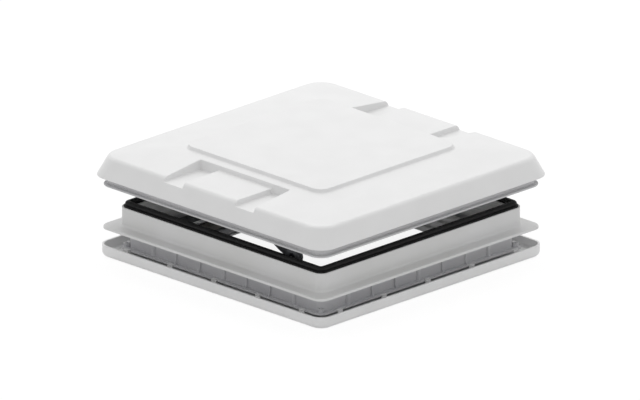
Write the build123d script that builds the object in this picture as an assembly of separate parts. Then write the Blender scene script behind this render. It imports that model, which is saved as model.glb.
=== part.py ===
from build123d import *
import os
from math import atan2, cos, degrees, hypot, radians, sin

# Square roof vent for a caravan, shown with its lid raised part of the way.
# Millimetres, +Z up. The origin is on the floor under the middle of the vent: the ceiling trim stands
# on z = 0. The lid's two recesses face -Y and +Y, and "half" is a distance from the middle plane.

# The hole in the roof and the roof itself
cutout_half = 200.0
roof_thickness = 24.0

# General clearances and cuts
cut_overrun = 2.0
seat_gap = 0.1
slide_gap = 0.5
pin_gap = 0.05
least_inner_corner = 3.0

# Ceiling trim: a shallow white tray with an open middle, clipped on from inside the caravan
trim_overlap = 27.0
trim_corner = 20.0
trim_height = 18.0
trim_wall = 3.0
trim_round = 8.0
trim_ledge_x = 43.0
trim_ledge_y = 17.0
opening_corner = 8.0

# Clamp ring: the grey ring that is screwed up to the outer frame and grips the roof
ring_wall = 2.5
ring_boss_inset = 0.2
ring_boss_radius = 3.9
ring_floor_base = 11.8
ring_floor_thick = 1.5
ring_ledge_width = 10.0
ring_ledge_corner = 14.0
ring_top_gap = 1.0
ring_rib_width = 1.8
ring_rib_depth = 2.6
ring_rib_foot = 5.5
ring_rib_foot_rise = 5.0
boss_side_count = 3
boss_pitch_share = 0.725
ribs_between_bosses = 2
corner_boss_height = 6.0

# Outer frame: the white collar and roof flange
flange_overlap = 24.5
flange_corner = 16.0
flange_thick = 4.0
collar_overlap = 5.0
collar_corner = 13.5
collar_height = 32.5
collar_wall = 3.0
collar_foot_fillet = 4.0
spigot_clearance = 0.5
spigot_corner = 8.0
spigot_wall = 2.5
spigot_drop = 3.5

# Frame screws, from under the clamp ring up into the outer frame's posts
screw_radius = 1.75
screw_head_radius = 3.6
screw_head_height = 2.2
frame_screw_length = 46.0
post_radius = 4.0
post_base_lift = 2.0

# Lid seal: a black rubber bulb on top of the collar
seal_inset = 4.0
seal_corner = 10.5
seal_width = 10.0
seal_height = 8.2
seal_round = 4.0

# Lid travel from the raised position shown
close_travel = 39.5
open_travel = 35.0
seal_gap = 0.3

# Lid shell
lid_overhang = 9.4
lid_corner = 27.5
lid_wall = 3.0
shoulder_inset = 10.7
shoulder_corner = 34.0
shoulder_rise = 31.0
shoulder_fillet = 9.0
skirt_fillet = 1.2
panel_inset = 94.7
panel_corner = 18.0
panel_foot_rise = 40.7
panel_height = 5.8
panel_draft = 1.6
panel_fillet = 1.6
panel_foot_fillet = 3.0
recess_fillet = 1.5
recess_half = 90.0
recess_panel_gap = 12.7
pad_half = 53.5
pad_rise = 32.0
well_rise = 23.4

# Lid liner: the white inner skin with a raised middle
liner_thick = 2.5
liner_edge_gap = 1.9
dome_corner = 8.0
dome_rise = 11.0

# Lid ring: the pale edge profile under the lid, outside the seal
ring_collar_gap = 1.5
neck_flange_width = 13.5
lip_overhang = 5.6
lip_corner = 21.0
lip_thick = 2.9
lip_wall = 3.0
neck_height = 12.0
lip_fillet = 1.3
lid_screw_inset = 5.0
lid_screw_side_count = 3
lid_screw_pitch_share = 0.71
lid_screw_length = 20.0
lid_boss_radius = 5.0

# Stays: one dark arm on the -Y side and one, turned half a turn, on the +Y side
pivot_inset = 59.0
pivot_rise = 4.5
stay_reach = 71.2
stay_lift = 30.0
stay_thick = 5.0
stay_pivot_radius = 12.0
stay_elbow_radius = 9.5
stay_elbow_reach_share = 0.4
stay_elbow_lift_share = 0.33
stay_tip_radius = 6.5
stay_pin_radius = 3.0
stay_coupling_per_mm = 0.0145
bracket_thick = 5.0
bracket_half_width = 17.0
bracket_drop = 26.0
bracket_gap = 0.5
stay_gap = 0.6
pivot_bolt_radius = 3.0
pivot_bolt_head_radius = 5.5
pivot_bolt_head_height = 2.0
pivot_nut_radius = 5.0
pivot_nut_height = 3.0
pin_thread_length = 8.0
knob_radius = 12.0
knob_height = 11.0
knob_lobe_radius = 4.5
knob_lobes = 5
bracket_screw_length = 7.0
bracket_screw_pitch = 20.0
bracket_screw_drop = 19.0

# Lid rails that the stay pins slide in
rail_thick = 5.0
rail_end_margin = 6.0
rail_foot_margin = 4.0
rail_slot_spare = 0.4
rail_flange_depth = 22.0
rail_flange_thick = 3.0
rail_screw_pitch = 26.0
rail_screw_inset = 14.0
rail_screw_bite = 8.0

# Pull handle in the middle of the liner
handle_length = 110.0
handle_width = 14.0
handle_drop = 22.0
handle_thick = 5.0
handle_fillet = 2.0
handle_screw_inset = 9.0
handle_screw_bite = 6.0

# Blind and insect screen: two cassettes on the X sides, two guide rails on the Y sides
cassette_depth = 36.0
cassette_wall = 2.0
cassette_height = 30.0
cassette_end_gap = 2.0
guide_depth = 15.0
guide_height = 30.0
guide_end_gap = 2.5
groove_depth = 6.5
groove_height = 5.0
blind_level = 11.0
screen_level = 25.0
bar_width = 9.5
bar_height = 10.0
bar_fillet = 2.0
bar_end_gap = 0.8
bar_tab_reach = 5.5
bar_tab_height = 3.8
bar_tab_length = 9.0
pleat_depth = 26.0
pleat_height = 11.4
pleat_gap = 0.6

# Trim clips that hook the trim to the ledge of the clamp ring
clip_pitch_share = 0.39
clip_side_count = 5
clip_shift = 8.4
clip_width = 9.0
clip_thick = 1.2
clip_leg_thick = 2.4
clip_hook_reach = 2.0

# Distances from the middle planes that follow from the sizes above
trim_half = cutout_half + trim_overlap
flange_half = cutout_half + flange_overlap
collar_half = cutout_half + collar_overlap
seal_half = collar_half - seal_inset
ring_wall_outer_half = cutout_half - ring_boss_radius
boss_half = ring_wall_outer_half - ring_boss_inset
ring_wall_inner_half = ring_wall_outer_half - ring_wall
ring_ledge_half = ring_wall_outer_half + ring_ledge_width
boss_pitch = boss_half * boss_pitch_share
rib_pitch = boss_pitch / (ribs_between_bosses + 1)
spigot_half = min(ring_wall_inner_half, boss_half - ring_boss_radius) - spigot_clearance
spigot_inner_half = spigot_half - spigot_wall
dome_half = spigot_inner_half + slide_gap
neck_flange_inner_half = collar_half + ring_collar_gap
neck_half = neck_flange_inner_half + neck_flange_width
lip_half = neck_half + lip_overhang
lid_screw_half = neck_flange_inner_half + lid_screw_inset
lid_screw_pitch = lid_screw_half * lid_screw_pitch_share
lid_half = lip_half + lid_overhang
shoulder_half = lid_half - shoulder_inset
panel_half = lid_half - panel_inset
recess_reach = panel_half + recess_panel_gap
opening_half_x = spigot_inner_half - trim_ledge_x
opening_half_y = spigot_inner_half - trim_ledge_y
guide_inner_half = opening_half_y
cassette_back_half = spigot_inner_half - slide_gap
cassette_half_length = guide_inner_half - cassette_end_gap
guide_half_length = cassette_back_half - cassette_depth - guide_end_gap
clip_pitch = trim_half * clip_pitch_share

# Heights that follow from the sizes above
ring_floor_top = ring_floor_base + ring_floor_thick
flange_base = trim_height + roof_thickness
flange_top = flange_base + flange_thick
collar_top = flange_base + collar_height
seal_top = collar_top + seal_height
lid_base = seal_top + seal_gap + close_travel
liner_top = lid_base + liner_thick
dome_ceiling = liner_top + dome_rise
dome_top = dome_ceiling + liner_thick
ring_top = flange_base - ring_top_gap
corner_boss_top = ring_floor_top + corner_boss_height
pivot_x = spigot_inner_half - pivot_inset
pivot_z = collar_top + pivot_rise
pin_x = pivot_x - stay_reach
pin_z = pivot_z + stay_lift
bracket_outer_y = spigot_inner_half - bracket_gap
bracket_inner_y = bracket_outer_y - bracket_thick
stay_outer_y = bracket_inner_y - stay_gap
stay_inner_y = stay_outer_y - stay_thick
knob_outer_y = stay_inner_y - stay_gap
knob_inner_y = knob_outer_y - knob_height


def rounded_sheet(half_x, half_y, corner, level):
    """A flat rounded rectangle about the middle, at a height."""
    return Pos(0, 0, level) * RectangleRounded(2 * half_x, 2 * half_y, corner)


def slab(half, corner, low, high):
    """A square block with rounded upright edges."""
    return extrude(rounded_sheet(half, half, corner, low), high - low)


def tower(sections):
    """A solid through rounded squares, each given as (half size, corner radius, height)."""
    return loft([rounded_sheet(half, half, corner, level) for half, corner, level in sections], ruled=True)


def square_ring(outer_half, outer_corner, inner_half, low, high):
    """A square tube whose inner corners run parallel to its outer ones."""
    inner_corner = max(outer_corner - (outer_half - inner_half), least_inner_corner)
    bore = slab(inner_half, inner_corner, low - cut_overrun, high + cut_overrun)
    return slab(outer_half, outer_corner, low, high) - bore


def block(x_low, x_high, y_low, y_high, z_low, z_high):
    """A plain block between two corners."""
    size = Box(x_high - x_low, y_high - y_low, z_high - z_low)
    return Pos((x_low + x_high) / 2, (y_low + y_high) / 2, (z_low + z_high) / 2) * size


def upright(x, y, radius, low, high):
    """A vertical cylinder."""
    return Pos(x, y, (low + high) / 2) * Cylinder(radius, high - low)


def along_y(x, z, radius, y_low, y_high):
    """A cylinder that lies along Y."""
    return Pos(x, (y_low + y_high) / 2, z) * Rot(90, 0, 0) * Cylinder(radius, y_high - y_low)


def half_turned(shape):
    """The same piece on the opposite side of the vent."""
    return Rot(0, 0, 180) * shape


def on_four_sides(shape):
    """Four copies of a piece that is modelled on the -Y side."""
    return [Rot(0, 0, turn) * shape for turn in (0, 90, 180, 270)]


def side_places(pitch, count):
    """Evenly spaced places along one side, about its middle."""
    return [(index - (count - 1) / 2) * pitch for index in range(count)]


def outer_edges_at(solid, level, half, reach):
    """The edges of a solid at one height that lie within reach of a rounded square's outline."""
    found = []
    for edge in solid.edges():
        box = edge.bounding_box()
        flat = abs(box.min.Z - level) < seat_gap and abs(box.max.Z - level) < seat_gap
        far = max(abs(box.min.X), abs(box.max.X), abs(box.min.Y), abs(box.max.Y))
        if flat and abs(far - half) < reach:
            found.append(edge)
    return found


def round_the_square(places):
    """Places on the -Y side, repeated on all four sides."""
    found = []
    for turn in (0, 90, 180, 270):
        for x, y in places:
            spot = Vector(x, y, 0).rotate(Axis.Z, turn)
            found.append((spot.X, spot.Y))
    return found


def frame_screw_places():
    """The places of the frame screws, which stand in the bosses of the clamp ring."""
    return round_the_square([(place, -boss_half) for place in side_places(boss_pitch, boss_side_count)])


def corner_places():
    """The places of the four low posts in the corners of the clamp ring."""
    return round_the_square([(boss_half, -boss_half)])


def make_trim_frame():
    """White ceiling trim: a tray with a rounded outer wall, a flat floor and the ceiling opening."""
    outer = slab(trim_half, trim_corner, 0, trim_height)
    outer = fillet(outer_edges_at(outer, 0, trim_half, seat_gap), trim_round)
    inner_half = trim_half - trim_wall
    hollow = slab(inner_half, trim_corner - trim_wall, trim_wall, trim_height + cut_overrun)
    hollow = fillet(outer_edges_at(hollow, trim_wall, inner_half, seat_gap), trim_round - trim_wall)
    mouth = extrude(rounded_sheet(opening_half_x, opening_half_y, opening_corner, -cut_overrun),
                    trim_wall + 2 * cut_overrun)
    return outer - hollow - mouth


def rib_places():
    """The places of the clamp ring's ribs along one side, evenly spaced between its bosses."""
    found = []
    for place in side_places(boss_pitch, boss_side_count)[:-1]:
        for step in range(ribs_between_bosses):
            found.append(place + (step + 1) * rib_pitch)
    return found


def make_clamp_ring():
    """Grey ring: an upright wall with screw bosses and ribs that flare at the foot, on a thin ledge."""
    wall_corner = spigot_corner + ring_wall
    ring = square_ring(ring_wall_outer_half, wall_corner, ring_wall_inner_half, ring_floor_base, ring_top)
    ring += square_ring(ring_ledge_half, ring_ledge_corner, ring_wall_inner_half,
                        ring_floor_base, ring_floor_top)
    root = ring_wall_outer_half - ring_wall / 2
    crest = ring_wall_outer_half + ring_rib_depth
    foot = ring_wall_outer_half + ring_rib_foot
    outline = Polyline((-root, ring_floor_base), (-foot, ring_floor_base), (-foot, ring_floor_top),
                       (-crest, ring_floor_top + ring_rib_foot_rise), (-crest, ring_top), (-root, ring_top),
                       close=True)
    for place in rib_places():
        rib = extrude(Plane.YZ.offset(place - ring_rib_width / 2) * make_face(outline), ring_rib_width)
        for copy in on_four_sides(rib):
            ring += copy
    for x, y in frame_screw_places():
        ring += upright(x, y, ring_boss_radius, ring_floor_base, ring_top)
    for x, y in corner_places():
        ring += upright(x, y, ring_boss_radius, ring_floor_base, corner_boss_top)
    for x, y in frame_screw_places() + corner_places():
        ring -= upright(x, y, screw_radius + pin_gap, ring_floor_base - cut_overrun, ring_top + cut_overrun)
    return ring


def make_outer_frame():
    """White frame: a double-walled collar, open below, with the roof flange round its foot."""
    frame = slab(flange_half, flange_corner, flange_base, flange_top)
    frame += slab(collar_half, collar_corner, flange_base, collar_top)
    foot = outer_edges_at(frame, flange_top, collar_half, seat_gap)
    frame = fillet(foot, collar_foot_fillet)
    rim = outer_edges_at(frame, flange_top, flange_half, seat_gap)
    frame = fillet(rim, flange_thick / 2)
    channel = square_ring(collar_half - collar_wall, collar_corner - collar_wall, spigot_half,
                          flange_base - cut_overrun, collar_top - collar_wall)
    frame -= channel
    frame += square_ring(spigot_half, spigot_corner, spigot_inner_half,
                         flange_base - spigot_drop, flange_top)
    bore_corner = spigot_corner - spigot_wall
    frame -= slab(spigot_inner_half, bore_corner, flange_base - spigot_drop - cut_overrun,
                  collar_top + cut_overrun)
    for x, y in frame_screw_places():
        frame += upright(x, y, post_radius, flange_base + post_base_lift, collar_top - collar_wall / 2)
    screw_top = ring_floor_base + frame_screw_length
    for x, y in frame_screw_places():
        frame -= upright(x, y, screw_radius + pin_gap, flange_base - cut_overrun, screw_top + seat_gap)
    hole_x = bracket_screw_pitch / 2
    for side in (-1, 1):
        spot_x = pivot_x + side * hole_x
        hole = along_y(spot_x, pivot_z - bracket_screw_drop, screw_radius + pin_gap,
                       -spigot_half - cut_overrun, -spigot_inner_half + cut_overrun)
        frame -= hole
        frame -= half_turned(hole)
    return frame


def make_lid_seal():
    """Black rubber bulb that stands on the collar."""
    seal = square_ring(seal_half, seal_corner, seal_half - seal_width, collar_top, seal_top)
    crown = [edge for edge in seal.edges() if edge.bounding_box().min.Z > seal_top - seat_gap]
    return fillet(crown, seal_round)


def screw(x, y, head_base, length):
    """A pan-head screw that points up, its head below head_base."""
    shank = upright(x, y, screw_radius, head_base, head_base + length)
    head = upright(x, y, screw_head_radius, head_base - screw_head_height, head_base)
    return shank + head


def make_frame_screws():
    """Twelve screws, each from under the clamp ring into a post of the outer frame."""
    return [screw(x, y, ring_floor_base, frame_screw_length) for x, y in frame_screw_places()]


def make_trim_clips():
    """Small clips that stand on the trim floor and hook over the clamp ring's ledge."""
    hook_base = ring_floor_top + seat_gap
    hook_top = hook_base + clip_thick
    leg_inner = ring_ledge_half + slide_gap
    leg_outer = leg_inner + clip_leg_thick
    clips = []
    for place in side_places(clip_pitch, clip_side_count):
        for turn, shift in ((0, -clip_shift), (90, clip_shift), (180, -clip_shift), (270, clip_shift)):
            left = place + shift - clip_width / 2
            right = place + shift + clip_width / 2
            hook = block(left, right, -leg_outer, -ring_ledge_half + clip_hook_reach, hook_base, hook_top)
            leg = block(left, right, -leg_outer, -leg_inner, trim_wall, hook_top)
            clips.append(Rot(0, 0, turn) * (hook + leg))
    return clips


def lid_form(inset):
    """The lid's outer form, drawn in by inset on every face."""
    low = lid_base if inset == 0 else lid_base - cut_overrun
    slope = tower([
        (lid_half - inset, lid_corner - inset, low),
        (shoulder_half - inset, shoulder_corner - inset, lid_base + shoulder_rise - inset),
        (panel_half - inset, panel_corner - inset / 2, lid_base + panel_foot_rise - inset),
    ])
    shoulder = outer_edges_at(slope, lid_base + shoulder_rise - inset, shoulder_half - inset, seat_gap)
    slope = fillet(shoulder, shoulder_fillet)
    panel_top = lid_base + panel_foot_rise + panel_height - inset
    panel = tower([
        (panel_half - inset, panel_corner - inset / 2, lid_base + panel_foot_rise - inset - cut_overrun),
        (panel_half - inset, panel_corner - inset / 2, lid_base + panel_foot_rise - inset),
        (panel_half - panel_draft - inset, panel_corner - inset / 2, panel_top),
    ])
    return slope + panel


def recess_cut(grow):
    """The two edge recesses: a shallow notch over the pad and a deeper well at each end of it."""
    low_y = recess_reach - grow
    high_y = lid_half + cut_overrun
    top = lid_base + panel_foot_rise + panel_height
    left = -recess_half - grow
    right = recess_half + grow
    notch = block(left, right, -high_y, -low_y, lid_base + pad_rise - grow, top)
    well_left = block(left, -pad_half + grow, -high_y, -low_y, lid_base + well_rise - grow, top)
    well_right = block(pad_half - grow, right, -high_y, -low_y, lid_base + well_rise - grow, top)
    cut = notch + well_left + well_right
    return cut + half_turned(cut)


def lid_screw_places():
    """The places of the screws that hold the lid ring."""
    return round_the_square([(place, -lid_screw_half)
                             for place in side_places(lid_screw_pitch, lid_screw_side_count)])


def rail_screw_places():
    """The places of the two screws in each lid rail, about the middle of its slot."""
    middle = sum(pin_span()) / 2
    y = -bracket_outer_y + rail_screw_inset
    near = [(middle - rail_screw_pitch / 2, y), (middle + rail_screw_pitch / 2, y)]
    return near + [(-x, -y) for x, y in near]


def recess_edges(solid):
    """The edges of the two recesses, rims, floors and upright corners alike."""
    found = []
    for edge in solid.edges():
        box = edge.bounding_box()
        across = max(abs(box.min.X), abs(box.max.X)) < recess_half + seat_gap
        outside = min(abs(box.min.Y), abs(box.max.Y)) > recess_reach - seat_gap
        if across and outside and box.min.Z > lid_base + well_rise - seat_gap:
            found.append(edge)
    return found


def make_lid_shell():
    """White outer shell of the lid, one wall thick, with soft edges outside and screw bosses inside."""
    outer = lid_form(0) - recess_cut(0)
    foot = lid_base + panel_foot_rise
    for level, size in ((foot + panel_height, panel_fillet), (foot, panel_foot_fillet)):
        outer = fillet(outer_edges_at(outer, level, panel_half, panel_draft + seat_gap), size)
    outer = fillet(recess_edges(outer), recess_fillet)
    hollow = lid_form(lid_wall) - recess_cut(lid_wall)
    shell = outer - hollow
    reach = foot + panel_height
    bosses = [upright(x, y, lid_boss_radius, liner_top, reach) for x, y in lid_screw_places()]
    bosses += [upright(x, y, lid_boss_radius, dome_top, reach) for x, y in rail_screw_places()]
    for boss in bosses:
        shell += boss & outer
    for x, y in lid_screw_places():
        shell -= upright(x, y, screw_radius + pin_gap, liner_top - cut_overrun,
                         lid_base - lip_wall + lid_screw_length + seat_gap)
    rail_screw_top = dome_ceiling - rail_flange_thick + rail_screw_bite
    for x, y in rail_screw_places():
        shell -= upright(x, y, screw_radius + pin_gap, dome_top - cut_overrun, rail_screw_top + seat_gap)
    skirt = outer_edges_at(shell, lid_base, lid_half, seat_gap)
    return fillet(skirt, skirt_fillet)


def make_lid_liner():
    """White inner skin: a flat rim that the seal meets, and a raised middle."""
    rim_half = lid_half - lid_wall - liner_edge_gap
    rim_corner = lid_corner
    liner = slab(rim_half, rim_corner, lid_base, liner_top)
    liner += slab(dome_half + liner_thick, dome_corner + liner_thick, lid_base, dome_top)
    liner -= slab(dome_half, dome_corner, lid_base - cut_overrun, dome_ceiling)
    for x, y in lid_screw_places() + rail_screw_places():
        liner -= upright(x, y, screw_radius + pin_gap, lid_base - cut_overrun, dome_top + cut_overrun)
    for side in (-1, 1):
        x = side * (handle_length / 2 - handle_screw_inset)
        liner -= upright(x, 0, screw_radius + pin_gap, lid_base, dome_top + cut_overrun)
    return liner


def make_lid_ring():
    """Pale edge profile: a flange under the liner, a deep neck and a lip that stands out at its foot."""
    neck_base = lid_base - neck_height
    neck_corner = lip_corner - (lip_half - neck_half)
    ring = square_ring(neck_half, neck_corner, neck_flange_inner_half, lid_base - lip_wall, lid_base)
    ring += square_ring(neck_half, neck_corner, neck_half - lip_wall, neck_base - lip_thick, lid_base)
    ring += square_ring(lip_half, lip_corner, neck_half - lip_wall, neck_base - lip_thick, neck_base)
    ring = fillet(outer_edges_at(ring, neck_base, lip_half, seat_gap), lip_fillet)
    ring = fillet(outer_edges_at(ring, neck_base - lip_thick, lip_half, seat_gap), lip_fillet)
    for x, y in lid_screw_places():
        ring -= upright(x, y, screw_radius + pin_gap,
                        lid_base - lip_wall - cut_overrun, lid_base + cut_overrun)
    return ring


def make_lid_screws():
    """Screws from under the lid ring, through the liner, into the shell's bosses."""
    return [screw(x, y, lid_base - lip_wall, lid_screw_length) for x, y in lid_screw_places()]


def stay_angle(travel):
    """How far a stay has turned, in radians, when the lid has moved by travel."""
    return stay_coupling_per_mm * travel


def pin_drift():
    """Lowest and highest place of the stay pin, measured from the lid, over the whole travel."""
    length = hypot(stay_reach, stay_lift)
    rest = atan2(stay_lift, stay_reach)
    steps = 60
    span = open_travel + close_travel
    heights = []
    for step in range(steps + 1):
        travel = -close_travel + span * step / steps
        heights.append(pivot_z + length * sin(rest + stay_angle(travel)) - travel)
    return min(heights), max(heights)


def pin_span():
    """Smallest and largest x of the stay pin over the whole travel."""
    length = hypot(stay_reach, stay_lift)
    rest = atan2(stay_lift, stay_reach)
    steps = 60
    span = open_travel + close_travel
    places = []
    for step in range(steps + 1):
        travel = -close_travel + span * step / steps
        places.append(pivot_x - length * cos(rest + stay_angle(travel)))
    return min(places), max(places)


def make_rail():
    """Dark slotted plate under the lid, with a screwed flange at its top."""
    low_pin, high_pin = pin_drift()
    left_pin, right_pin = pin_span()
    slot_low = low_pin - stay_pin_radius - rail_slot_spare
    slot_high = high_pin + stay_pin_radius + rail_slot_spare
    slot_left = left_pin - stay_pin_radius - slide_gap
    slot_right = right_pin + stay_pin_radius + slide_gap
    plate_left = slot_left - rail_end_margin
    plate_right = slot_right + rail_end_margin
    back = -bracket_outer_y
    plate = block(plate_left, plate_right, back, back + rail_thick, slot_low - rail_foot_margin, dome_ceiling)
    flange = block(plate_left, plate_right, back, back + rail_flange_depth,
                   dome_ceiling - rail_flange_thick, dome_ceiling)
    slot = block(slot_left, slot_right, back - cut_overrun, back + rail_thick + cut_overrun,
                 slot_low, slot_high)
    rail = plate + flange - slot
    for x, y in rail_screw_places()[:2]:
        rail -= upright(x, y, screw_radius + pin_gap, dome_ceiling - rail_flange_thick - cut_overrun,
                        dome_ceiling + cut_overrun)
    return rail


def make_rail_screws():
    """Screws up through each rail and the liner into the bosses under the lid's wells."""
    base = dome_ceiling - rail_flange_thick
    return [screw(x, y, base, rail_screw_bite) for x, y in rail_screw_places()]


def disc_xz(x, z, radius):
    """A round sheet in the plane of a stay."""
    return Pos(x, z) * Circle(radius)


def make_stay():
    """Dark arm: a broad round end on the pivot, an elbow and a slim end that carries the threaded pin."""
    elbow_x = pivot_x - stay_reach * stay_elbow_reach_share
    elbow_z = pivot_z + stay_lift * stay_elbow_lift_share
    broad = make_hull((disc_xz(pivot_x, pivot_z, stay_pivot_radius)
                       + disc_xz(elbow_x, elbow_z, stay_elbow_radius)).edges())
    slim = make_hull((disc_xz(elbow_x, elbow_z, stay_elbow_radius)
                      + disc_xz(pin_x, pin_z, stay_tip_radius)).edges())
    outline = Rot(90, 0, 0) * (broad + slim)
    arm = Pos(0, -stay_inner_y, 0) * extrude(outline, stay_thick, dir=(0, -1, 0))
    arm -= along_y(pivot_x, pivot_z, pivot_bolt_radius + pin_gap,
                   -stay_outer_y - cut_overrun, -stay_inner_y + cut_overrun)
    pin_end = -bracket_outer_y + slide_gap
    return arm + along_y(pin_x, pin_z, stay_pin_radius, pin_end, -stay_inner_y + pin_thread_length)


def make_bracket():
    """Dark plate inside the collar that carries the stay's pivot."""
    plate = block(pivot_x - bracket_half_width, pivot_x + bracket_half_width, -spigot_inner_half,
                  -bracket_inner_y, pivot_z - bracket_drop, pivot_z)
    round_end = along_y(pivot_x, pivot_z, stay_pivot_radius, -spigot_inner_half, -bracket_inner_y)
    plate = fillet(plate.edges().filter_by(Axis.Y), bracket_thick / 2) + round_end
    plate -= along_y(pivot_x, pivot_z, pivot_bolt_radius + pin_gap,
                     -spigot_inner_half - cut_overrun, -bracket_inner_y + cut_overrun)
    plate -= along_y(pivot_x, pivot_z, pivot_bolt_head_radius + slide_gap, -spigot_inner_half - cut_overrun,
                     -spigot_inner_half + pivot_bolt_head_height + slide_gap)
    for side in (-1, 1):
        plate -= along_y(pivot_x + side * bracket_screw_pitch / 2, pivot_z - bracket_screw_drop,
                         screw_radius + pin_gap, -spigot_inner_half - cut_overrun,
                         -bracket_inner_y + cut_overrun)
    return plate


def make_pivot_bolt():
    """Black bolt, its head behind the bracket, and the low nut that keeps the stay on it."""
    start = -spigot_inner_half + slide_gap / 2
    nut_base = -stay_inner_y + slide_gap
    nut_top = nut_base + pivot_nut_height
    head = along_y(pivot_x, pivot_z, pivot_bolt_head_radius, start, start + pivot_bolt_head_height)
    shank = along_y(pivot_x, pivot_z, pivot_bolt_radius, start, nut_top)
    hexagon = Pos(pivot_x, pivot_z) * RegularPolygon(pivot_nut_radius, 6)
    nut = Pos(0, nut_base, 0) * extrude(Rot(90, 0, 0) * hexagon, pivot_nut_height, dir=(0, 1, 0))
    nut -= along_y(pivot_x, pivot_z, pivot_bolt_radius + pin_gap,
                   nut_base - cut_overrun, nut_top + cut_overrun)
    return [head + shank, nut]


def make_knob():
    """Dark lobed hand knob on the stay's pin, which clamps the stay against the lid's rail."""
    knob = along_y(pin_x, pin_z, knob_radius - knob_lobe_radius / 2, -knob_outer_y, -knob_inner_y)
    for lobe in range(knob_lobes):
        turn = radians(360 * lobe / knob_lobes)
        reach = knob_radius - knob_lobe_radius
        knob += along_y(pin_x + reach * cos(turn), pin_z + reach * sin(turn), knob_lobe_radius,
                        -knob_outer_y, -knob_inner_y)
    return knob - along_y(pin_x, pin_z, stay_pin_radius + pin_gap, -knob_outer_y - cut_overrun,
                          -stay_inner_y + pin_thread_length + seat_gap)


def make_bracket_screws():
    """Two short screws through each bracket into the collar's inner wall."""
    screws = []
    for side in (-1, 1):
        x = pivot_x + side * bracket_screw_pitch / 2
        z = pivot_z - bracket_screw_drop
        shank = along_y(x, z, screw_radius, -bracket_inner_y - bracket_screw_length, -bracket_inner_y)
        head = along_y(x, z, screw_head_radius, -bracket_inner_y, -bracket_inner_y + screw_head_height)
        screws += [shank + head, half_turned(shank + head)]
    return screws


def make_pull_handle():
    """White bow handle in the middle of the lid's underside."""
    half = handle_length / 2
    low = dome_ceiling - handle_drop
    bow = block(-half, half, -handle_width / 2, handle_width / 2, low, dome_ceiling)
    inner = half - 2 * handle_screw_inset
    bow -= block(-inner, inner, -handle_width, handle_width, low + handle_thick, dome_ceiling + cut_overrun)
    bow = fillet(bow.edges().filter_by(Axis.X).group_by(Axis.Z)[0], handle_fillet)
    for side in (-1, 1):
        x = side * (half - handle_screw_inset)
        bow -= upright(x, 0, screw_head_radius + slide_gap, low - cut_overrun, dome_ceiling - handle_thick)
        bow -= upright(x, 0, screw_radius + pin_gap, low, dome_ceiling + cut_overrun)
    return bow


def make_handle_screws():
    """Two screws sunk in the handle's feet."""
    x = handle_length / 2 - handle_screw_inset
    base = dome_ceiling - handle_thick
    length = handle_thick + handle_screw_bite
    return [screw(-x, 0, base, length), screw(x, 0, base, length)]


def make_cassette():
    """Dark channel on the -X side, open towards the middle."""
    back = -cassette_back_half
    mouth = back + cassette_depth
    half = cassette_half_length
    case = block(back, mouth, -half, half, trim_wall, trim_wall + cassette_height)
    room = block(back + cassette_wall, mouth + cut_overrun, -half + cassette_wall, half - cassette_wall,
                 trim_wall + cassette_wall, trim_wall + cassette_height - cassette_wall)
    case -= room
    return fillet(case.edges().filter_by(Axis.Y).group_by(Axis.Z)[-1].sort_by(Axis.X)[:1], cassette_wall / 2)


def make_guide_rail():
    """White rail on the -Y side with a groove for the blind bar and one for the screen bar."""
    back = -guide_inner_half - guide_depth
    rail = block(-guide_half_length, guide_half_length, back, -guide_inner_half,
                 trim_wall, trim_wall + guide_height)
    for level in (blind_level, screen_level):
        rail -= block(-guide_half_length - cut_overrun, guide_half_length + cut_overrun,
                      -guide_inner_half - groove_depth, -guide_inner_half + cut_overrun,
                      level - groove_height / 2, level + groove_height / 2)
    return rail


def make_bar(level):
    """Pull bar across the opening on the -X side, with a tab at each end that runs in a groove."""
    back = -cassette_back_half + cassette_depth + slide_gap
    reach = guide_inner_half - bar_end_gap
    bar = block(back, back + bar_width, -reach, reach, level - bar_height / 2, level + bar_height / 2)
    bar = fillet(bar.edges().filter_by(Axis.Y), bar_fillet)
    middle = back + bar_width / 2
    tab_reach = reach + bar_tab_reach
    return bar + block(middle - bar_tab_length / 2, middle + bar_tab_length / 2, -tab_reach, tab_reach,
                       level - bar_tab_height / 2, level + bar_tab_height / 2)


def make_pleats(level):
    """The folded pack of cloth in a cassette, as one plain block."""
    mouth = -cassette_back_half + cassette_depth
    half = cassette_half_length - cassette_wall - pleat_gap
    return block(mouth - pleat_depth, mouth - pleat_gap, -half, half,
                 level - pleat_height / 2, level + pleat_height / 2)


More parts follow.
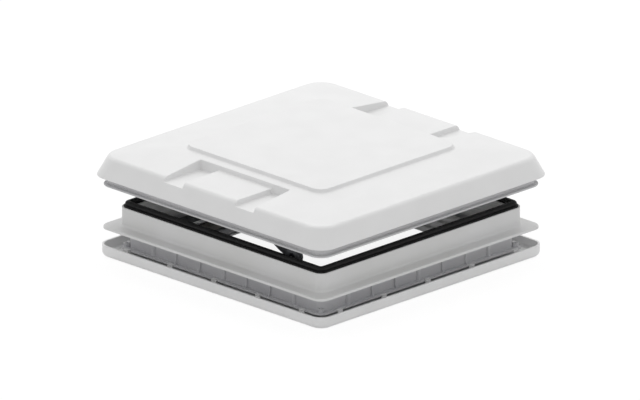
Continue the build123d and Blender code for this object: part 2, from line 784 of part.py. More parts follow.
nodes = {
    "trim_frame": make_trim_frame(),
    "clamp_ring": make_clamp_ring(),
    "outer_frame": make_outer_frame(),
    "lid_seal": make_lid_seal(),
    "frame_screws": Compound(children=make_frame_screws()),
    "trim_clips": Compound(children=make_trim_clips()),
    "lid_shell": make_lid_shell(),
    "lid_liner": make_lid_liner(),
    "lid_ring": make_lid_ring(),
    "lid_screws": Compound(children=make_lid_screws()),
    "lid_rail_front": make_rail(),
    "lid_rail_rear": half_turned(make_rail()),
    "rail_screws": Compound(children=make_rail_screws()),
    "stay_front": make_stay(),
    "stay_rear": half_turned(make_stay()),
    "stay_bracket_front": make_bracket(),
    "stay_bracket_rear": half_turned(make_bracket()),
    "bracket_screws": Compound(children=make_bracket_screws()),
    "pivot_bolt_front": Compound(children=make_pivot_bolt()),
    "pivot_bolt_rear": Compound(children=[half_turned(piece) for piece in make_pivot_bolt()]),
    "stay_knob_front": make_knob(),
    "stay_knob_rear": half_turned(make_knob()),
    "pull_handle": make_pull_handle(),
    "handle_screws": Compound(children=make_handle_screws()),
    "blind_cassette": make_cassette(),
    "screen_cassette": half_turned(make_cassette()),
    "guide_rail_front": make_guide_rail(),
    "guide_rail_rear": half_turned(make_guide_rail()),
    "blind_bar": make_bar(blind_level),
    "screen_bar": half_turned(make_bar(screen_level)),
    "blind_pleats": make_pleats(blind_level),
    "screen_pleats": half_turned(make_pleats(screen_level)),
}

os.makedirs("parts", exist_ok=True)
for name, shape in nodes.items():
    export_step(shape, f"parts/{name}.step")

print("lid base", round(lid_base, 2), "top", round(lid_base + panel_foot_rise + panel_height, 2))
print("pivot", round(pivot_x, 2), round(pivot_z, 2), "pin", round(pin_x, 2), round(pin_z, 2))
print("stay turns from", round(degrees(stay_angle(-close_travel)), 2))
print("stay turns to", round(degrees(stay_angle(open_travel)), 2))
print("pin heights", [round(value, 2) for value in pin_drift()])
print("pin places", [round(value, 2) for value in pin_span()])
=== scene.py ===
from math import cos, radians, sin

import bpy
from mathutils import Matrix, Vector


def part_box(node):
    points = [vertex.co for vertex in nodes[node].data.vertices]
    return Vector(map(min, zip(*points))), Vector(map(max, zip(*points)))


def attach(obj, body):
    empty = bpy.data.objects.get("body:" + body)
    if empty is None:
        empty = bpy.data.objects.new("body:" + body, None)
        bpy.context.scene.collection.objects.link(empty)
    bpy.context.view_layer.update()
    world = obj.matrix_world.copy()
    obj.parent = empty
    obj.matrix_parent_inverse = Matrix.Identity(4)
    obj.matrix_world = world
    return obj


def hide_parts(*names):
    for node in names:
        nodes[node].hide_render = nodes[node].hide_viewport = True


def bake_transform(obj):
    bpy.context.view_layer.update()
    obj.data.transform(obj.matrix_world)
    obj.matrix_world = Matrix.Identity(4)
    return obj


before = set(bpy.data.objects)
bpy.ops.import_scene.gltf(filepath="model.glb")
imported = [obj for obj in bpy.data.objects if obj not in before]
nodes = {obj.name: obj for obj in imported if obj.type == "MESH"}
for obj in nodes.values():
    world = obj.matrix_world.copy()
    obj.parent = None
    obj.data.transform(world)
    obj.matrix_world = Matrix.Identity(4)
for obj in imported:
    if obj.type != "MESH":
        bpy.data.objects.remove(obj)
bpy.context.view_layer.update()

# A square roof vent for a caravan, with its lid raised part of the way. Metres, +Z up, and the same places as
# the frame: the ceiling trim stands on z = 0 and the lid's two recesses face -Y and +Y.
mm = 0.001


# The view of the photograph
# A parallel view, as of something very far away: from 20 degrees above the floor, over the corner between the
# lid's -Y side and its +X side.
view_turn = radians(45)
view_rise = radians(20)
photo_width = 640
photo_pixels_per_metre = 700
view_middle = Vector((-1.0, -1.0, 83.6)) * mm
view_distance = 3.0
view_reach = 20.0

to_camera = Vector((sin(view_turn) * cos(view_rise), -cos(view_turn) * cos(view_rise), sin(view_rise)))
camera = bpy.data.objects.new("camera", bpy.data.cameras.new("camera"))
camera.data.type = "ORTHO"
camera.data.ortho_scale = photo_width / photo_pixels_per_metre
camera.data.clip_end = view_reach
camera.location = view_middle + to_camera * view_distance
camera.rotation_mode = "QUATERNION"
camera.rotation_quaternion = (-to_camera).to_track_quat("-Z", "Y")
bpy.context.scene.collection.objects.link(camera)
bpy.context.scene.camera = camera
bpy.context.scene.view_settings.view_transform = "Standard"


# Floor and light
# A pale floor in a white room, with a faint shadow under the vent. The light is soft and even from all round,
# with one broad lamp overhead, set a little behind the vent, so that its front faces are a shade darker.
floor_size = 30.0
floor_drop = 0.1 * mm
floor_hex = "#F2F2F2"
floor_glow = 0.90
floor_shade_share = 0.16
room_hex = "#FFFFFF"
room_strength = 0.65
room_seen_strength = 1.0
lamp_size = 2.6
lamp_height = 2.4
lamp_behind = 0.7
lamp_power = 28.0


def linear(hex_colour):
    """A colour written as sRGB hex, as the linear values that a shader takes."""
    parts = [int(hex_colour[place:place + 2], 16) / 255 for place in (1, 3, 5)]
    return [part / 12.92 if part <= 0.04045 else ((part + 0.055) / 1.055) ** 2.4 for part in parts] + [1.0]


def add_node(tree, kind, settings=None, **links):
    """Adds a shader node. settings sets its properties and its sockets; links joins sockets to outputs."""
    node = tree.nodes.new(kind)
    for name, value in (settings or {}).items():
        if name in node.inputs:
            node.inputs[name].default_value = value
        else:
            setattr(node, name, value)
    for name, output in links.items():
        tree.links.new(output, node.inputs[name.replace("_", " ")])
    return node


def new_material(name):
    """An empty material, ready for its nodes."""
    material = bpy.data.materials.new(name)
    material.use_nodes = True
    material.node_tree.nodes.clear()
    return material, material.node_tree


def seen_directly(tree):
    """1 for rays from the camera and from mirror-like or clear surfaces, 0 for the light on the object."""
    path = add_node(tree, "ShaderNodeLightPath")
    gloss = add_node(tree, "ShaderNodeMath", {"operation": "MAXIMUM"})
    tree.links.new(path.outputs["Is Camera Ray"], gloss.inputs[0])
    tree.links.new(path.outputs["Is Glossy Ray"], gloss.inputs[1])
    clear = add_node(tree, "ShaderNodeMath", {"operation": "MAXIMUM"})
    tree.links.new(gloss.outputs[0], clear.inputs[0])
    tree.links.new(path.outputs["Is Transmission Ray"], clear.inputs[1])
    return clear.outputs[0]


# Painted studio floor: matt, and mostly a plain glow to the camera, so only the vent's soft shadow shows
floor_material, tree = new_material("studio_floor_paint")
lit = add_node(tree, "ShaderNodeBsdfDiffuse", {"Color": linear(floor_hex)})
glow = add_node(tree, "ShaderNodeEmission", {"Strength": floor_glow / (1 - floor_shade_share)})
seen = add_node(tree, "ShaderNodeMixShader", {"Fac": 1 - floor_shade_share})
tree.links.new(lit.outputs[0], seen.inputs[1])
tree.links.new(glow.outputs[0], seen.inputs[2])
picked = add_node(tree, "ShaderNodeMixShader", None, Fac=seen_directly(tree))
tree.links.new(lit.outputs[0], picked.inputs[1])
tree.links.new(seen.outputs[0], picked.inputs[2])
add_node(tree, "ShaderNodeOutputMaterial", None, Surface=picked.outputs[0])

bpy.ops.object.select_all(action="DESELECT")
bpy.ops.mesh.primitive_plane_add(size=floor_size, location=(0, 0, -floor_drop))
floor = bpy.context.object
floor.name = "studio_floor"
floor.data.materials.append(floor_material)

world = bpy.data.worlds.new("studio_room")
bpy.context.scene.world = world
world.use_nodes = True
tree = world.node_tree
tree.nodes.clear()
white = linear(room_hex)
room = add_node(tree, "ShaderNodeBackground", {"Color": white, "Strength": room_strength})
behind = add_node(tree, "ShaderNodeBackground", {"Color": white, "Strength": room_seen_strength})
mixed = add_node(tree, "ShaderNodeMixShader", None, Fac=seen_directly(tree))
tree.links.new(room.outputs[0], mixed.inputs[1])
tree.links.new(behind.outputs[0], mixed.inputs[2])
add_node(tree, "ShaderNodeOutputWorld", None, Surface=mixed.outputs[0])

lamp = bpy.data.objects.new("overhead_lamp", bpy.data.lights.new("overhead_lamp", "AREA"))
lamp.data.shape = "SQUARE"
lamp.data.size = lamp_size
lamp.data.energy = lamp_power
lamp.location = (-lamp_behind, lamp_behind, lamp_height)
lamp.rotation_mode = "QUATERNION"
lamp.rotation_quaternion = (-lamp.location).to_track_quat("-Z", "Y")
bpy.context.scene.collection.objects.link(lamp)


# Outer frame: the collar and the roof flange
# One white moulding in ASA, which keeps its colour in sunlight. The mould is finely eroded, so the skin is
# satin, and the thick flange cools last, which leaves a faint cloudiness in the plastic.
frame_hex = "#E1E1E1"
frame_cloud_hex = "#DDDDDC"
frame_roughness = 0.46
frame_grain = 1.5 * mm
frame_grain_depth = 0.03 * mm
cloud_size = 70 * mm
sheen_spread_down = 0.06
sheen_spread_up = 0.08
plastic_ior = 1.51
weld_distance = 0.01 * mm
flat_angle = radians(0.5)
smooth_angle = radians(35)
bevel_angle = radians(40)
bevel_steps = 2


def moulded_plastic(name, hex_colour, cloud_hex, roughness, grain_size, grain_depth):
    """Injection moulded plastic: faintly cloudy colour, the eroded grain of the mould and uneven sheen.
    The grain is drawn several times coarser than the real one, which would not show."""
    material, tree = new_material(name)
    place = add_node(tree, "ShaderNodeTexCoord").outputs["Object"]
    cloud = add_node(tree, "ShaderNodeTexNoise", {"Scale": 1 / cloud_size, "Detail": 2.0}, Vector=place)
    colour = add_node(tree, "ShaderNodeValToRGB", None, Fac=cloud.outputs["Fac"])
    clear, cloudy = colour.color_ramp.elements
    clear.position = 0.35
    clear.color = linear(hex_colour)
    cloudy.position = 0.65
    cloudy.color = linear(cloud_hex)
    grain = add_node(tree, "ShaderNodeTexNoise", {"Scale": 1 / grain_size, "Detail": 3.0, "Roughness": 0.6},
                     Vector=place)
    bump = add_node(tree, "ShaderNodeBump", {"Strength": 0.3, "Distance": grain_depth},
                    Height=grain.outputs["Fac"])
    sheen = add_node(tree, "ShaderNodeMapRange", {"To Min": roughness - sheen_spread_down,
                                                  "To Max": roughness + sheen_spread_up},
                     Value=grain.outputs["Fac"])
    shade = add_node(tree, "ShaderNodeBsdfPrincipled", {"IOR": plastic_ior},
                     Base_Color=colour.outputs["Color"], Roughness=sheen.outputs["Result"],
                     Normal=bump.outputs["Normal"])
    add_node(tree, "ShaderNodeOutputMaterial", None, Surface=shade.outputs[0])
    return material


def take(piece):
    """Makes one piece the only one selected, and the active one."""
    bpy.ops.object.select_all(action="DESELECT")
    piece.select_set(True)
    bpy.context.view_layer.objects.active = piece


def even_shading(piece):
    """Smooths the round faces of a piece, keeps its hard edges and lets its flat faces read as flat."""
    take(piece)
    bpy.ops.object.shade_smooth_by_angle(angle=smooth_angle)
    even = piece.modifiers.new("even_shading", "WEIGHTED_NORMAL")
    even.keep_sharp = True
    bpy.ops.object.modifier_apply(modifier=even.name)


def finished_copy(node, body, material, bevel=0.0):
    """A piece in the place of a frame node: its triangles welded, its faces smooth and, where a bevel is
    given, its edges rounded."""
    piece = bpy.data.objects.new("finished_" + node, nodes[node].data.copy())
    bpy.context.scene.collection.objects.link(piece)
    take(piece)
    bpy.ops.mesh.customdata_custom_splitnormals_clear()
    bpy.ops.object.mode_set(mode="EDIT")
    bpy.ops.mesh.select_all(action="SELECT")
    bpy.ops.mesh.remove_doubles(threshold=weld_distance)
    bpy.ops.mesh.dissolve_limited(angle_limit=flat_angle)
    bpy.ops.object.mode_set(mode="OBJECT")
    if bevel:
        soft = piece.modifiers.new("soft_edges", "BEVEL")
        soft.width = bevel
        soft.segments = bevel_steps
        soft.limit_method = "ANGLE"
        soft.angle_limit = bevel_angle
        bpy.ops.object.modifier_apply(modifier=soft.name)
    even_shading(piece)
    piece.data.materials.clear()
    piece.data.materials.append(material)
    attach(piece, body)
    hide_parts(node)


asa = moulded_plastic("injection_moulded_white_asa", frame_hex, frame_cloud_hex, frame_roughness, frame_grain,
                      frame_grain_depth)
finished_copy("outer_frame", "frame", asa)


# Lid seal
# A bulb of extruded EPDM rubber on a flat foot, pressed onto the collar. It comes off a roll, is bent round
# the corners and is joined end to end. Rubber is nearly black and matt, with fine lines along its length.
seal_hex = "#09090A"
seal_dust_hex = "#161618"
seal_width = 10 * mm
seal_corner = 10.5 * mm
seal_foot_rise = 1.1 * mm
seal_lip_rise = 1.7 * mm
seal_lip_thick = 1.5 * mm
seal_lip_reach = 7.2 * mm
seal_groove_high = 3.2 * mm
seal_groove_depth = 1.1 * mm
seal_flank_share = 0.25
seal_sides = 28
corner_steps = 10
quarter_turn = radians(90)
dust_size = 9 * mm
line_pitch = 6.2 * mm
line_depth = 0.05 * mm
one_band = 0.31


def extruded_rubber():
    """EPDM rubber: near black, with a little chalk dust on it and die lines that run along the strip, drawn
    much coarser than the real ones. At the scale one_band the wave pattern repeats about once in one unit."""
    material, tree = new_material("extruded_epdm_rubber")
    place = add_node(tree, "ShaderNodeTexCoord").outputs["Object"]
    dust = add_node(tree, "ShaderNodeTexNoise", {"Scale": 1 / dust_size, "Detail": 5.0, "Roughness": 0.7},
                    Vector=place)
    spread = add_node(tree, "ShaderNodeValToRGB", None, Fac=dust.outputs["Fac"])
    clean, dusty = spread.color_ramp.elements
    clean.position = 0.45
    clean.color = linear(seal_hex)
    dusty.position = 0.85
    dusty.color = linear(seal_dust_hex)
    lines = add_node(tree, "ShaderNodeTexWave", {"wave_type": "BANDS", "bands_direction": "Z",
                                                 "Scale": one_band / line_pitch, "Distortion": 0.4},
                     Vector=place)
    bump = add_node(tree, "ShaderNodeBump", {"Strength": 0.25, "Distance": line_depth},
                    Height=lines.outputs["Fac"])
    shade = add_node(tree, "ShaderNodeBsdfPrincipled", {"Roughness": 0.75, "IOR": 1.45},
                     Base_Color=spread.outputs["Color"], Normal=bump.outputs["Normal"])
    add_node(tree, "ShaderNodeOutputMaterial", None, Surface=shade.outputs[0])
    return material


def strip_section(name, sides, radius, half, corner, level):
    """The round cross-section of a strip, standing at the start of the -Y side of a rounded square."""
    bpy.ops.object.select_all(action="DESELECT")
    bpy.ops.mesh.primitive_circle_add(vertices=sides, radius=radius, location=(corner - half, -half, level),
                                      rotation=(0, quarter_turn, 0))
    piece = bpy.context.object
    piece.name = name
    bpy.ops.object.transform_apply(location=True, rotation=True, scale=True)
    return piece


def led_round(piece, half, corner):
    """Draws a section along the four sides of a rounded square and round its corners, and closes the ring.
    The spin counts a turn to the left as negative."""
    straight = half - corner
    take(piece)
    bpy.ops.object.mode_set(mode="EDIT")
    bpy.ops.mesh.select_all(action="SELECT")
    for side in range(4):
        turn = quarter_turn * side
        along = (2 * straight * cos(turn), 2 * straight * sin(turn), 0)
        bpy.ops.mesh.extrude_edges_move(TRANSFORM_OT_translate={"value": along})
        middle = (straight * (cos(turn) + sin(turn)), straight * (sin(turn) - cos(turn)), 0)
        bpy.ops.mesh.spin(steps=corner_steps, angle=-quarter_turn, center=middle, axis=(0, 0, 1))
    bpy.ops.mesh.select_all(action="SELECT")
    bpy.ops.mesh.remove_doubles(threshold=weld_distance)
    bpy.ops.mesh.normals_make_consistent(inside=False)
    bpy.ops.object.mode_set(mode="OBJECT")
    even_shading(piece)


def pick_points(piece, wanted):
    """Opens a piece for editing, with only those points selected that wanted picks out."""
    take(piece)
    bpy.ops.object.mode_set(mode="EDIT")
    bpy.ops.mesh.select_all(action="DESELECT")
    bpy.ops.object.mode_set(mode="OBJECT")
    for point in piece.data.vertices:
        point.select = wanted(point.co)
    bpy.ops.object.mode_set(mode="EDIT")


def move_points(piece, wanted, value):
    """Moves the points of a piece that wanted picks out."""
    pick_points(piece, wanted)
    bpy.ops.transform.translate(value=value)
    bpy.ops.object.mode_set(mode="OBJECT")


def scale_points(piece, wanted, value, middle):
    """Scales the points that wanted picks out about a middle. A scale of 0 presses them onto it."""
    pick_points(piece, wanted)
    bpy.ops.transform.resize(value=value, center_override=middle)
    bpy.ops.object.mode_set(mode="OBJECT")


rubber = extruded_rubber()
seal_low, seal_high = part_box("lid_seal")
seal_height = seal_high.z - seal_low.z
seal_half = seal_high.x - seal_width / 2
seal_bend = seal_corner - seal_width / 2
seal_middle = Vector((0, -seal_half, seal_low.z + seal_height / 2))
seal_foot = Vector((0, -seal_half, seal_low.z))
seal_lip_tip = Vector((0, -seal_half - seal_lip_reach, seal_low.z + seal_lip_thick))


def at_height(spot, low, high):
    """Whether a point of the seal's section lies between two heights above the collar."""
    return low < spot.z - seal_low.z < high


def outside(spot, share):
    """Whether a point lies further out than a share of the seal's width, measured from its middle."""
    return spot.y < -seal_half - seal_width * share


bpy.context.tool_settings.mesh_select_mode = (True, False, False)
seal = strip_section("rubber_lid_seal", seal_sides, seal_width / 2, seal_half, seal_bend, seal_middle.z)
# The round section is pressed to the height of the bulb
scale_points(seal, lambda spot: True, (1, 1, seal_height / seal_width), seal_middle)
# The neck between bulb and foot is drawn in on both sides
move_points(seal, lambda spot: at_height(spot, seal_lip_rise, seal_groove_high) and spot.y > -seal_half,
            (0, -seal_groove_depth, 0))
move_points(seal, lambda spot: at_height(spot, seal_lip_rise, seal_groove_high) and outside(spot, 0),
            (0, seal_groove_depth, 0))
# The foot reaches outwards as a thin flat lip, and its underside lies flat on the collar
scale_points(seal, lambda spot: at_height(spot, -weld_distance, seal_lip_rise)
             and outside(spot, seal_flank_share), (1, 0, 1), seal_lip_tip)
scale_points(seal, lambda spot: at_height(spot, seal_foot_rise, seal_lip_rise)
             and outside(spot, seal_flank_share), (1, 1, 0), seal_lip_tip)
scale_points(seal, lambda spot: at_height(spot, -weld_distance, seal_foot_rise), (1, 1, 0), seal_foot)
led_round(seal, seal_half, seal_bend)
seal.data.materials.append(rubber)
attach(seal, "frame")
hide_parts("lid_seal")


# Clamp ring and its screws
# One moulding in filled polypropylene that is screwed up to the outer frame from inside and grips the
# roof between them. Its colour is white plastic painted a shade darker, a pale grey that is painted shade for
# the narrow slot it sits in. Two fine beads run along its ledge, left by the mould. The screws are zinc
# plated.
# The ring's pale grey is its white darkened as painted shade for the shadowed slot.
ring_hex = "#D5D5D7"
ring_cloud_hex = "#CDCDD0"
ring_roughness = 0.52
ring_grain = 1.2 * mm
ring_grain_depth = 0.04 * mm
ledge_thick = 1.5 * mm
ledge_corner = 14 * mm
bead_radius = 0.55 * mm
bead_sides = 10
foot_bead_inset = 4.2 * mm
zinc_hex = "#B9BBC0"
zinc_tint_hex = "#C4C0B4"
zinc_roughness = 0.34
plating_patch = 3 * mm
wear_spread_down = 0.08
wear_spread_up = 0.12


def plated_steel(name, hex_colour, tint_hex, roughness):
    """Steel with a thin bright or black plating, a little uneven in tone where the plating is thicker."""
    material, tree = new_material(name)
    place = add_node(tree, "ShaderNodeTexCoord").outputs["Object"]
    patch = add_node(tree, "ShaderNodeTexNoise", {"Scale": 1 / plating_patch, "Detail": 4.0}, Vector=place)
    tone = add_node(tree, "ShaderNodeValToRGB", None, Fac=patch.outputs["Fac"])
    thin, thick = tone.color_ramp.elements
    thin.position = 0.35
    thin.color = linear(hex_colour)
    thick.position = 0.7
    thick.color = linear(tint_hex)
    worn = add_node(tree, "ShaderNodeMapRange", {"To Min": roughness - wear_spread_down,
                                                 "To Max": roughness + wear_spread_up},
                    Value=patch.outputs["Fac"])
    shade = add_node(tree, "ShaderNodeBsdfPrincipled", {"Metallic": 1.0}, Base_Color=tone.outputs["Color"],
                     Roughness=worn.outputs["Result"])
    add_node(tree, "ShaderNodeOutputMaterial", None, Surface=shade.outputs[0])
    return material


def small_parts(node, material):
    """Screws, bolts and clips that keep the frame's own shape and get their finish."""
    nodes[node].data.materials.clear()
    nodes[node].data.materials.append(material)


# The ring and its beads take this colour, darkened as painted shade.
filled_pp = moulded_plastic("injection_moulded_pp_painted_shade_grey", ring_hex, ring_cloud_hex, ring_roughness, ring_grain,
                            ring_grain_depth)
finished_copy("clamp_ring", "frame", filled_pp)
ring_low, ring_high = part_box("clamp_ring")
ledge_top = ring_low.z + ledge_thick
for bead_name, inset in (("clamp_ring_ledge_bead", bead_radius), ("clamp_ring_foot_bead", foot_bead_inset)):
    half = ring_high.x - inset
    corner = ledge_corner - inset
    bead = strip_section(bead_name, bead_sides, bead_radius, half, corner, ledge_top)
    led_round(bead, half, corner)
    bead.data.materials.append(filled_pp)
    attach(bead, "frame")

zinc = plated_steel("zinc_plated_steel", zinc_hex, zinc_tint_hex, zinc_roughness)
small_parts("frame_screws", zinc)


# Ceiling trim and its clips
# A shallow tray in white ABS that hides the clamp ring from inside the caravan. Its clips are moulded in the
# same plastic, and hook over the ring's ledge when the tray is pushed up.
trim_hex = "#F1F1F1"
trim_cloud_hex = "#EDEDED"
trim_roughness = 0.38
trim_grain = 1.0 * mm
trim_grain_depth = 0.02 * mm

trim_abs = moulded_plastic("injection_moulded_white_abs", trim_hex, trim_cloud_hex, trim_roughness,
                           trim_grain, trim_grain_depth)
finished_copy("trim_frame", "frame", trim_abs)
small_parts("trim_clips", trim_abs)


# Lid shell
# Sheet ABS that is heated and sucked down over a form, so its edges are soft and its skin is smooth, with a
# very faint waviness. Screws come up into its bosses, through the lid ring and the liner.
lid_hex = "#EDEDED"
lid_cloud_hex = "#EAEAEA"
lid_wave = 45 * mm
lid_wave_depth = 0.10 * mm
lid_skin = 1.4 * mm
lid_skin_depth = 0.02 * mm
lid_roughness_low = 0.30
lid_roughness_high = 0.42
sheet_ior = 1.54


def formed_sheet():
    """Thermoformed ABS: smooth and softly shining, with the long faint waves of a stretched sheet."""
    material, tree = new_material("thermoformed_abs_sheet")
    place = add_node(tree, "ShaderNodeTexCoord").outputs["Object"]
    wave = add_node(tree, "ShaderNodeTexNoise", {"Scale": 1 / lid_wave, "Detail": 1.0}, Vector=place)
    skin = add_node(tree, "ShaderNodeTexNoise", {"Scale": 1 / lid_skin, "Detail": 3.0}, Vector=place)
    colour = add_node(tree, "ShaderNodeValToRGB", None, Fac=wave.outputs["Fac"])
    cloudy, clear = colour.color_ramp.elements
    cloudy.position = 0.3
    cloudy.color = linear(lid_cloud_hex)
    clear.position = 0.7
    clear.color = linear(lid_hex)
    long_bump = add_node(tree, "ShaderNodeBump", {"Strength": 0.3, "Distance": lid_wave_depth},
                         Height=wave.outputs["Fac"])
    fine_bump = add_node(tree, "ShaderNodeBump", {"Strength": 0.2, "Distance": lid_skin_depth},
                         Height=skin.outputs["Fac"], Normal=long_bump.outputs["Normal"])
    sheen = add_node(tree, "ShaderNodeMapRange", {"To Min": lid_roughness_low, "To Max": lid_roughness_high},
                     Value=skin.outputs["Fac"])
    shade = add_node(tree, "ShaderNodeBsdfPrincipled", {"IOR": sheet_ior}, Base_Color=colour.outputs["Color"],
                     Roughness=sheen.outputs["Result"], Normal=fine_bump.outputs["Normal"])
    add_node(tree, "ShaderNodeOutputMaterial", None, Surface=shade.outputs[0])
    return material


sheet_abs = formed_sheet()
finished_copy("lid_shell", "lid", sheet_abs)


# Lid liner, lid ring and their screws
# The liner is the lid's inner skin, moulded like the outer frame. The ring is a grey-white edge profile
# outside the seal that keeps rain off it; it is darker under the skirt, and its lip catches the light.
edge_hex = "#CFCFD0"
edge_cloud_hex = "#C9C9CB"
edge_roughness = 0.5
edge_grain = 1.2 * mm
edge_grain_depth = 0.03 * mm

finished_copy("lid_liner", "lid", asa)
edge_plastic = moulded_plastic("injection_moulded_edge_profile", edge_hex, edge_cloud_hex, edge_roughness,
                               edge_grain, edge_grain_depth)
finished_copy("lid_ring", "lid", edge_plastic)
small_parts("lid_screws", zinc)


# Stays, brackets, rails and knobs
# Nylon filled with short glass fibres, stiff and dark, so that the arms can be thin. The fibres lie just
# under the skin and give it a fine pale fleck. The pivots are black plated bolts with low nuts.
nylon_hex = "#444549"
nylon_fleck_hex = "#525358"
nylon_roughness = 0.48
nylon_ior = 1.53
fleck_size = 1.1 * mm
fleck_depth = 0.03 * mm
arm_bevel = 0.6 * mm
plate_bevel = 0.4 * mm
bolt_hex = "#303033"
bolt_tint_hex = "#3A3A3E"
bolt_roughness = 0.42


def filled_nylon():
    """Glass-filled nylon: charcoal with a blue cast, dull, its fibres drawn coarser than the real ones."""
    material, tree = new_material("glass_filled_nylon")
    place = add_node(tree, "ShaderNodeTexCoord").outputs["Object"]
    fleck = add_node(tree, "ShaderNodeTexVoronoi", {"Scale": 1 / fleck_size}, Vector=place)
    colour = add_node(tree, "ShaderNodeValToRGB", None, Fac=fleck.outputs["Distance"])
    fibre, ground = colour.color_ramp.elements
    fibre.position = 0.05
    fibre.color = linear(nylon_fleck_hex)
    ground.position = 0.35
    ground.color = linear(nylon_hex)
    bump = add_node(tree, "ShaderNodeBump", {"Strength": 0.3, "Distance": fleck_depth},
                    Height=fleck.outputs["Distance"])
    shade = add_node(tree, "ShaderNodeBsdfPrincipled", {"Roughness": nylon_roughness, "IOR": nylon_ior},
                     Base_Color=colour.outputs["Color"], Normal=bump.outputs["Normal"])
    add_node(tree, "ShaderNodeOutputMaterial", None, Surface=shade.outputs[0])
    return material


nylon = filled_nylon()
black_steel = plated_steel("black_plated_steel", bolt_hex, bolt_tint_hex, bolt_roughness)
for end in ("front", "rear"):
    finished_copy("stay_" + end, end + "_stay", nylon, arm_bevel)
    finished_copy("stay_knob_" + end, end + "_knob", nylon, arm_bevel)
    finished_copy("stay_bracket_" + end, "frame", nylon, plate_bevel)
    finished_copy("lid_rail_" + end, "lid", nylon, plate_bevel)
    small_parts("pivot_bolt_" + end, black_steel)
small_parts("bracket_screws", zinc)
small_parts("rail_screws", zinc)


# Pull handle
# A white bow in the middle of the liner, moulded in the same ABS as the trim and held by two sunk screws. Its
# edges are rounded for the hand.
finished_copy("pull_handle", "lid", trim_abs, plate_bevel)
small_parts("handle_screws", zinc)


# Cassettes, guide rails and pull bars
# Two dark channels hold the folded blind and screen, each with a white strip clipped along the top of its
# mouth. White guide rails on the other two sides lead the pull bars, which are grey and finely grained.
bar_hex = "#8E8E90"
bar_cloud_hex = "#88888B"
bar_roughness = 0.42
bar_grain = 1.2 * mm
bar_grain_depth = 0.02 * mm
strip_depth = 7.4 * mm
strip_thick = 0.7 * mm
strip_bevel = 0.3 * mm
strip_cuts = 3

bar_plastic = moulded_plastic("extruded_grey_bar", bar_hex, bar_cloud_hex, bar_roughness, bar_grain,
                              bar_grain_depth)
finished_copy("guide_rail_front", "frame", trim_abs, plate_bevel)
finished_copy("guide_rail_rear", "frame", trim_abs, plate_bevel)
for pull, side in (("blind", -1), ("screen", 1)):
    finished_copy(pull + "_cassette", "frame", nylon, plate_bevel)
    finished_copy(pull + "_bar", pull, bar_plastic)
    case_low, case_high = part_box(pull + "_cassette")
    mouth = case_high.x if side < 0 else case_low.x
    middle = Vector((mouth + side * strip_depth / 2, 0, case_high.z + strip_thick / 2))
    bpy.ops.object.select_all(action="DESELECT")
    bpy.ops.mesh.primitive_cube_add(size=1, location=middle)
    strip = bpy.context.object
    strip.name = pull + "_cassette_lip"
    strip.scale = (strip_depth, case_high.y - case_low.y, strip_thick)
    bpy.ops.object.transform_apply(location=True, rotation=True, scale=True)
    bpy.ops.object.mode_set(mode="EDIT")
    bpy.ops.mesh.select_all(action="SELECT")
    bpy.ops.mesh.subdivide(number_cuts=strip_cuts)
    bpy.ops.object.mode_set(mode="OBJECT")
    round_edge = strip.modifiers.new("round_edge", "BEVEL")
    round_edge.width = strip_bevel
    round_edge.segments = bevel_steps
    bpy.ops.object.modifier_apply(modifier=round_edge.name)
    even_shading(strip)
    strip.data.materials.append(trim_abs)
    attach(strip, "frame")


# Blind and insect screen
# Each is one sheet, creased into narrow pleats that lie folded in the cassette, fixed to its back and to the
# pull bar. The blind is a close-woven cloth, and the screen a net of coated glass yarn, drawn without holes.
# Between the threads both weaves are painted darker as painted shade, which on the net stands in for its
# holes.
pleat_count = 24
cloth_rows = 10
cloth_thick = 0.25 * mm
thread_pitch = 1.6 * mm
thread_depth = 0.15 * mm
cloth_sheen = 0.2
# The second colour of each cloth is painted shade between its threads; on the net it stands in for the holes.
blind_hex = "#CFCDC6"
blind_shade_hex = "#B9B7B0"
blind_roughness = 0.85
net_hex = "#3A3B3D"
net_gap_shade_hex = "#17181A"
net_roughness = 0.7


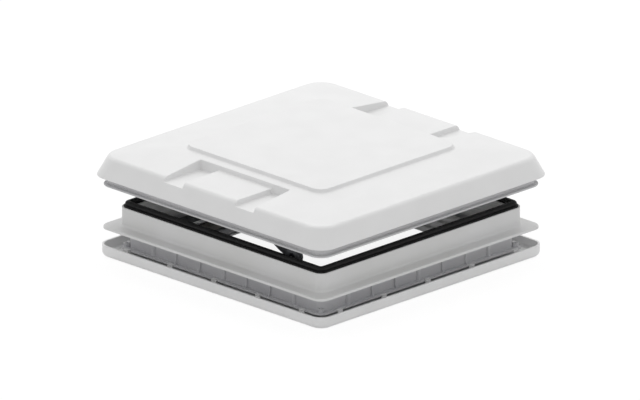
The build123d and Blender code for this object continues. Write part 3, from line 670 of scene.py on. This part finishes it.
def woven(name, thread_hex, gap_shade_hex, roughness, flat):
    """A plain weave: warp and weft as two sets of raised lines, with painted shade in the darker colour
    between them. It follows the sheet's own map, and its threads are drawn coarser than the real ones, which
    would not show."""
    material, tree = new_material(name)
    place = add_node(tree, "ShaderNodeTexCoord").outputs["UV"]
    laid = add_node(tree, "ShaderNodeMapping", {"Scale": (flat[0] / thread_pitch, flat[1] / thread_pitch, 1)},
                    Vector=place)
    warp = add_node(tree, "ShaderNodeTexWave", {"bands_direction": "X", "Scale": one_band},
                    Vector=laid.outputs[0])
    weft = add_node(tree, "ShaderNodeTexWave", {"bands_direction": "Y", "Scale": one_band},
                    Vector=laid.outputs[0])
    cross = add_node(tree, "ShaderNodeMath", {"operation": "MAXIMUM"})
    tree.links.new(warp.outputs["Fac"], cross.inputs[0])
    tree.links.new(weft.outputs["Fac"], cross.inputs[1])
    colour = add_node(tree, "ShaderNodeValToRGB", None, Fac=cross.outputs[0])
    # Painted shade: where neither warp nor weft is raised, the colour is the darker one.
    gap_shade, thread = colour.color_ramp.elements
    gap_shade.position = 0.25
    gap_shade.color = linear(gap_shade_hex)
    thread.position = 0.75
    thread.color = linear(thread_hex)
    bump = add_node(tree, "ShaderNodeBump", {"Strength": 0.4, "Distance": thread_depth},
                    Height=cross.outputs[0])
    shade = add_node(tree, "ShaderNodeBsdfPrincipled", {"Roughness": roughness, "Sheen Weight": cloth_sheen},
                     Base_Color=colour.outputs["Color"], Normal=bump.outputs["Normal"])
    add_node(tree, "ShaderNodeOutputMaterial", None, Surface=shade.outputs[0])
    return material


def pleated_sheet(name, node, pull, hexes, roughness):
    """A sheet in zigzag folds, as deep and as wide as the room that its cassette leaves."""
    low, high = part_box(node)
    middle = (Vector(low) + Vector(high)) / 2
    width, length, rise = high.x - low.x, high.y - low.y, high.z - low.z - cloth_thick
    folds = 2 * pleat_count
    bpy.ops.object.select_all(action="DESELECT")
    bpy.ops.mesh.primitive_grid_add(x_subdivisions=folds, y_subdivisions=cloth_rows, size=1, location=middle)
    cloth = bpy.context.object
    cloth.name = name
    cloth.scale = (width, length, 1)
    bpy.ops.object.transform_apply(location=True, rotation=True, scale=True)
    pitch = width / folds
    move_points(cloth, lambda spot: round((spot.x - low.x) / pitch) % 2 == 0, (0, 0, rise / 2))
    move_points(cloth, lambda spot: round((spot.x - low.x) / pitch) % 2 == 1, (0, 0, -rise / 2))
    take(cloth)
    wall = cloth.modifiers.new("cloth_thickness", "SOLIDIFY")
    wall.thickness = cloth_thick
    wall.offset = 0
    bpy.ops.object.modifier_apply(modifier=wall.name)
    panel = (pitch ** 2 + rise ** 2) ** 0.5
    flat = (panel * folds, length)
    cloth.data.materials.append(woven(name + "_weave", hexes[0], hexes[1], roughness, flat))
    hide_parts(node)
    start, end = ((low.x, 0, middle.z), (high.x, 0, middle.z))
    if pull == "screen":
        start, end = end, start
    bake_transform(cloth)


pleated_sheet("blind_cloth_pleats", "blind_pleats", "blind", (blind_hex, blind_shade_hex),
              blind_roughness)
pleated_sheet("insect_screen_pleats", "screen_pleats", "screen", (net_hex, net_gap_shade_hex),
              net_roughness)
